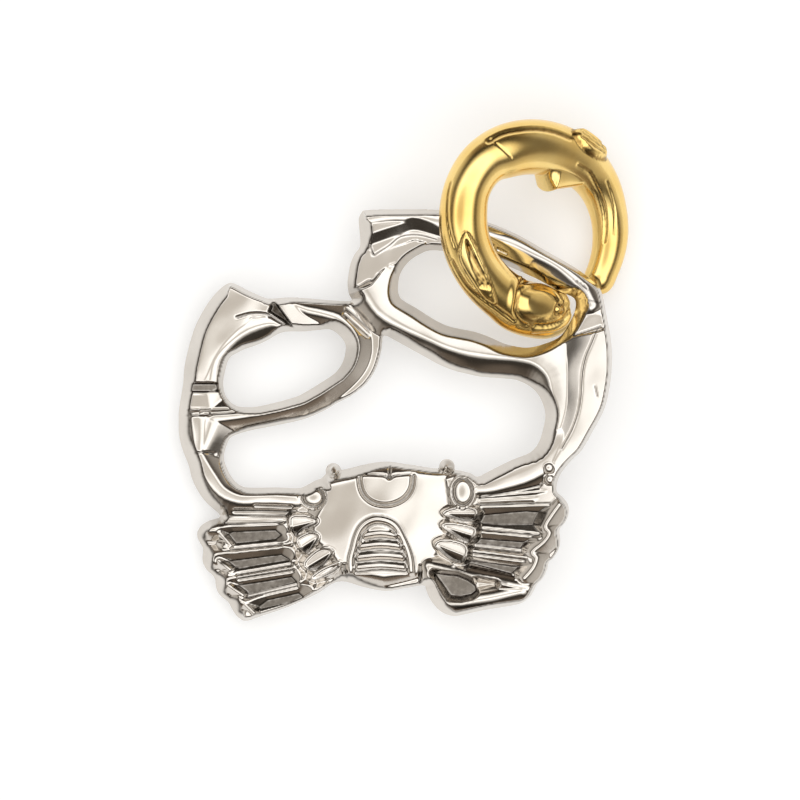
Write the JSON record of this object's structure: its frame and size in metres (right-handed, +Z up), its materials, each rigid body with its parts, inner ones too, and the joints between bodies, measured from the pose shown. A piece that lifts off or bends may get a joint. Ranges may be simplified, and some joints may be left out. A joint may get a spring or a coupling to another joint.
{
  "type": "metal disentanglement puzzle",
  "caption": "Cast metal disentanglement puzzle: a silver crab with looped claws, and a gold fish-shaped ring linked round one claw.",
  "frame": {"origin": "middle of the whole object's box in plan, on the table it lies on", "axes": "+Z up out of the crab's belly, +Y from the crab's legs to its claws, +X toward the claw that holds the ring"},
  "size_m": [0.0634, 0.0702, 0.0186],
  "materials": {
    "silver_plate": "nickel-plated zinc casting, polished with soft cast texture",
    "gold_plate": "gold-plated zinc casting, polished with soft cast texture"
  },
  "bodies": {
    "crab": {"crab": "silver_plate"},
    "ring": {"fish_ring": "gold_plate"}
  },
  "joints": [
    {"name": "ring_swing", "type": "hinge", "parent": "crab", "child": "ring", "pos_m": [0.01702, 0.01685, 0.00734], "axis": [0.9115, -0.4064, 0.0634], "range_deg": [0, 110]}
  ]
}
